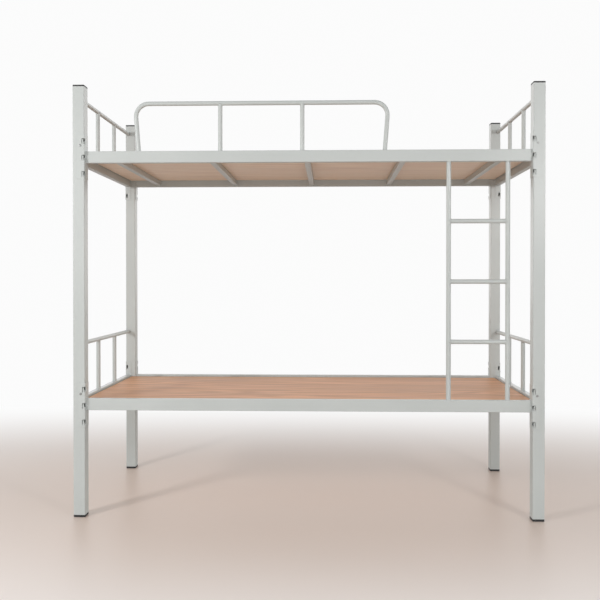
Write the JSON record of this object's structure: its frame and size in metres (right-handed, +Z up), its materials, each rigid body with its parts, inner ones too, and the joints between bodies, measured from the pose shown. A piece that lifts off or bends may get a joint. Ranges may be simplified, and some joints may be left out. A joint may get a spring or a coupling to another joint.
{
  "type": "bunk bed with ladder",
  "caption": "Steel-tube bunk bed: square posts, hook-in rails, end guards, front guard rail, upright ladder and lift-out plywood boards.",
  "frame": {"origin": "on the floor, midway between the four posts", "axes": "+X along the bed to the right seen from the ladder side, +Y from the ladder side to the back, +Z up"},
  "size_m": [2.012, 0.912, 1.85],
  "materials": {
    "paint": "satin warm grey powder coat",
    "black_plastic": "matte black moulded plastic",
    "zinc": "bright zinc plated steel",
    "plywood": "bare reddish-brown plywood"
  },
  "bodies": {
    "frame": {"post_front_left": "paint", "post_front_right": "paint", "post_back_left": "paint", "post_back_right": "paint", "cap_front_left": "black_plastic", "cap_front_right": "black_plastic", "cap_back_left": "black_plastic", "cap_back_right": "black_plastic", "foot_front_left": "black_plastic", "foot_front_right": "black_plastic", "foot_back_left": "black_plastic", "foot_back_right": "black_plastic", "rail_upper_front": "paint", "rail_upper_back": "paint", "rail_lower_front": "paint", "rail_lower_back": "paint", "rail_upper_left": "paint", "rail_upper_right": "paint", "rail_lower_left": "paint", "rail_lower_right": "paint", "hook_plates_upper_front": "paint", "hook_plates_upper_back": "paint", "hook_plates_lower_front": "paint", "hook_plates_lower_back": "paint", "hook_plates_upper_left": "paint", "hook_plates_upper_right": "paint", "hook_plates_lower_left": "paint", "hook_plates_lower_right": "paint", "safety_bolts": "zinc", "end_tube_upper_left": "paint", "end_tube_upper_right": "paint", "end_tube_lower_left": "paint", "end_tube_lower_right": "paint", "end_bars_upper_left": "paint", "end_bars_upper_right": "paint", "end_bars_lower_left": "paint", "end_bars_lower_right": "paint", "tube_plugs": "black_plastic", "guard_tube": "paint", "guard_bars": "paint", "ladder_stile_left": "paint", "ladder_stile_right": "paint", "ladder_rung_1": "paint", "ladder_rung_2": "paint", "ladder_rung_3": "paint", "slat_upper_1": "paint", "slat_upper_2": "paint", "slat_upper_3": "paint", "slat_upper_4": "paint", "slat_upper_5": "paint", "slat_lower_1": "paint", "slat_lower_2": "paint", "slat_lower_3": "paint", "slat_lower_4": "paint", "slat_lower_5": "paint"},
    "upper_board": {"board_upper": "plywood"},
    "lower_board": {"board_lower": "plywood"}
  },
  "joints": [
    {"name": "upper_board_lift", "type": "slide", "parent": "frame", "child": "upper_board", "axis": [0, 0, 1], "range_m": [0, 0.3]},
    {"name": "lower_board_lift", "type": "slide", "parent": "frame", "child": "lower_board", "axis": [0, 0, 1], "range_m": [0, 1.02]}
  ]
}
